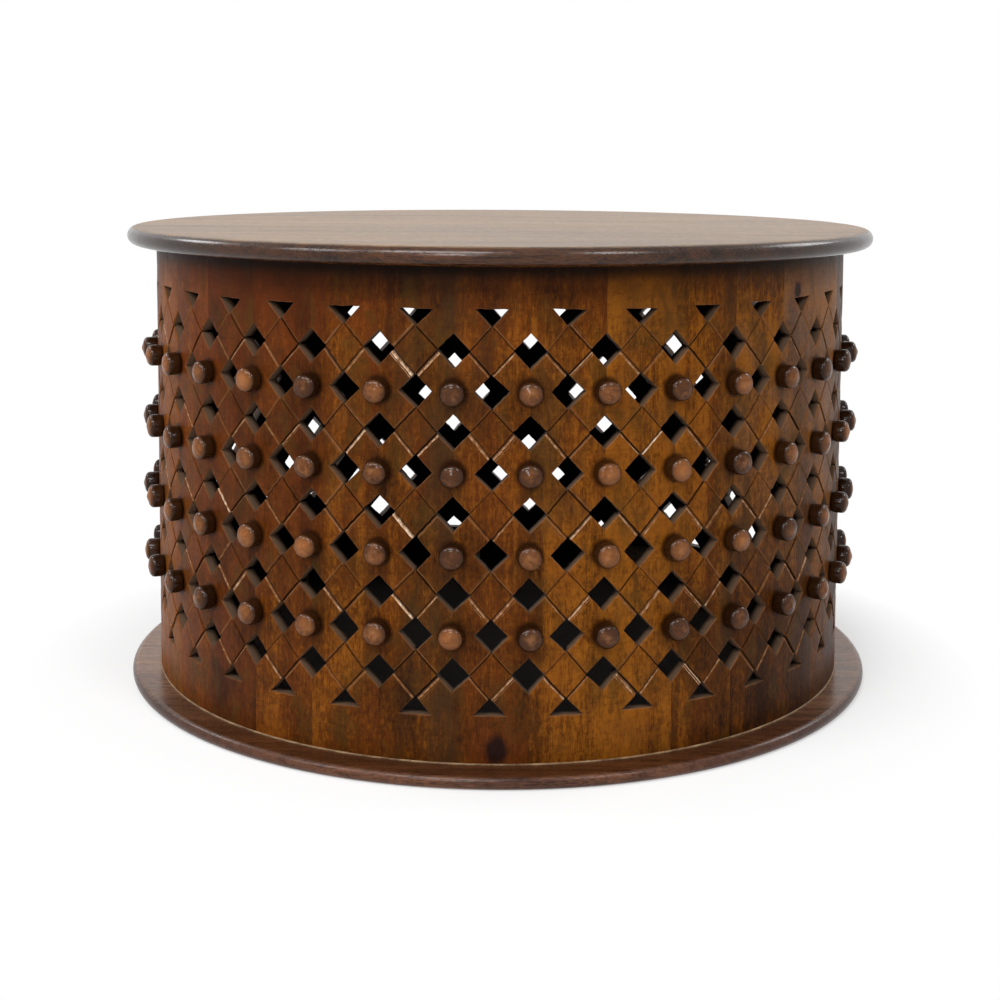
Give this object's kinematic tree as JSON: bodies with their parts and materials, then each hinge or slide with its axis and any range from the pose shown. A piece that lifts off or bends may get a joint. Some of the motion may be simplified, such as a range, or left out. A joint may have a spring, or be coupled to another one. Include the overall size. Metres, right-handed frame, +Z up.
{
  "type": "drum coffee table",
  "caption": "Low round drum table with a flat turned top, a pierced and carved stave wall studded with turned knobs, and a wider turned base disc.",
  "frame": {"origin": "on the floor at the centre of the base disc", "axes": "+Z up along the drum's axis, -Y towards the front, boards of both discs run along X"},
  "size_m": [0.762, 0.762, 0.4572],
  "materials": {
    "top_wood": "satin lacquer over dark brown stained hardwood",
    "base_wood": "satin lacquer over dark brown stained hardwood",
    "stave_wood": "satin lacquer over stained hardwood, board colours from amber to dark brown",
    "knob_wood": "gloss lacquer over red brown stained turnings",
    "cleat_wood": "unfinished sawn hardwood",
    "screw_steel": "zinc plated steel"
  },
  "bodies": {
    "root": {"top_board_1": "top_wood", "top_board_2": "top_wood", "top_board_3": "top_wood", "top_board_4": "top_wood", "top_board_5": "top_wood", "top_board_6": "top_wood", "top_board_7": "top_wood", "base_board_1": "base_wood", "base_board_2": "base_wood", "base_board_3": "base_wood", "base_board_4": "base_wood", "base_board_5": "base_wood", "base_board_6": "base_wood", "base_board_7": "base_wood", "stave_01": "stave_wood", "stave_02": "stave_wood", "stave_03": "stave_wood", "stave_04": "stave_wood", "stave_05": "stave_wood", "stave_06": "stave_wood", "stave_07": "stave_wood", "stave_08": "stave_wood", "stave_09": "stave_wood", "stave_10": "stave_wood", "stave_11": "stave_wood", "stave_12": "stave_wood", "stave_13": "stave_wood", "stave_14": "stave_wood", "stave_15": "stave_wood", "stave_16": "stave_wood", "stave_17": "stave_wood", "stave_18": "stave_wood", "stave_19": "stave_wood", "stave_20": "stave_wood", "stave_21": "stave_wood", "stave_22": "stave_wood", "stave_23": "stave_wood", "stave_24": "stave_wood", "stave_25": "stave_wood", "stave_26": "stave_wood", "stave_27": "stave_wood", "stave_28": "stave_wood", "stave_29": "stave_wood", "stave_30": "stave_wood", "stave_31": "stave_wood", "stave_32": "stave_wood", "stave_33": "stave_wood", "stave_34": "stave_wood", "knob_row_1": "knob_wood", "knob_row_2": "knob_wood", "knob_row_3": "knob_wood", "knob_row_4": "knob_wood", "top_cleats": "cleat_wood", "base_cleats": "cleat_wood", "top_disc_screws": "screw_steel", "top_wall_screws": "screw_steel", "base_disc_screws": "screw_steel", "base_wall_screws": "screw_steel"}
  },
  "joints": []
}
